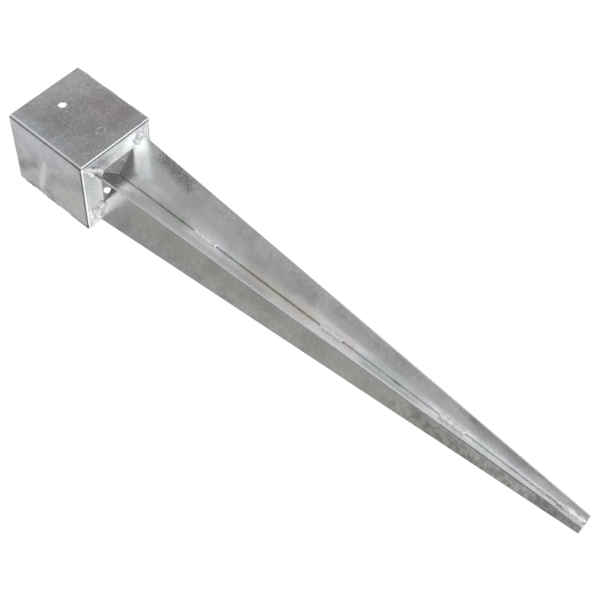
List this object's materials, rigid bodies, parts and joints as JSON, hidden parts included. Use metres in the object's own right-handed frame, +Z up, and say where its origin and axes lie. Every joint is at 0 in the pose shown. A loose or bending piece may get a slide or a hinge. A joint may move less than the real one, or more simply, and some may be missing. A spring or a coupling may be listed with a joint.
{
  "type": "post anchor spike",
  "caption": "Square folded-steel post socket on a tapered cross-section spike that is driven into the ground; cross holes hold the post.",
  "frame": {"origin": "on the spike's axis at ground level, the underside of the socket's bottom flanges", "axes": "+Z up along the post towards the socket's mouth, the tip points to -Z; the wall with the bolt holes faces -Y, and its twin faces +Y"},
  "size_m": [0.1062, 0.1062, 0.75],
  "materials": {
    "galvanised_socket": "zinc-coated sheet, fine spangle, satin",
    "galvanised_spike": "zinc-coated sheet, satin with soft mottling",
    "weld_metal": "bright zinc-coated weld beads"
  },
  "bodies": {
    "root": {"corner_weld_front_right_lower": "weld_metal", "corner_weld_front_right_middle": "weld_metal", "corner_weld_front_right_upper": "weld_metal", "corner_weld_rear_left_lower": "weld_metal", "corner_weld_rear_left_middle": "weld_metal", "corner_weld_rear_left_upper": "weld_metal", "fin_weld_front_left_on_front": "weld_metal", "fin_weld_front_left_on_left": "weld_metal", "fin_weld_front_right_on_front": "weld_metal", "fin_weld_front_right_on_right": "weld_metal", "fin_weld_rear_left_on_left": "weld_metal", "fin_weld_rear_left_on_rear": "weld_metal", "fin_weld_rear_right_on_rear": "weld_metal", "fin_weld_rear_right_on_right": "weld_metal", "mitre_weld_front_left": "weld_metal", "mitre_weld_front_right": "weld_metal", "mitre_weld_rear_left": "weld_metal", "mitre_weld_rear_right": "weld_metal", "socket_half_front": "galvanised_socket", "socket_half_rear": "galvanised_socket", "spike_profile_left": "galvanised_spike", "spike_profile_right": "galvanised_spike", "spine_weld_front_1": "weld_metal", "spine_weld_front_2": "weld_metal", "spine_weld_front_3": "weld_metal", "spine_weld_front_4": "weld_metal", "spine_weld_front_5": "weld_metal", "spine_weld_rear_1": "weld_metal", "spine_weld_rear_2": "weld_metal", "spine_weld_rear_3": "weld_metal", "spine_weld_rear_4": "weld_metal", "spine_weld_rear_5": "weld_metal"}
  },
  "joints": []
}
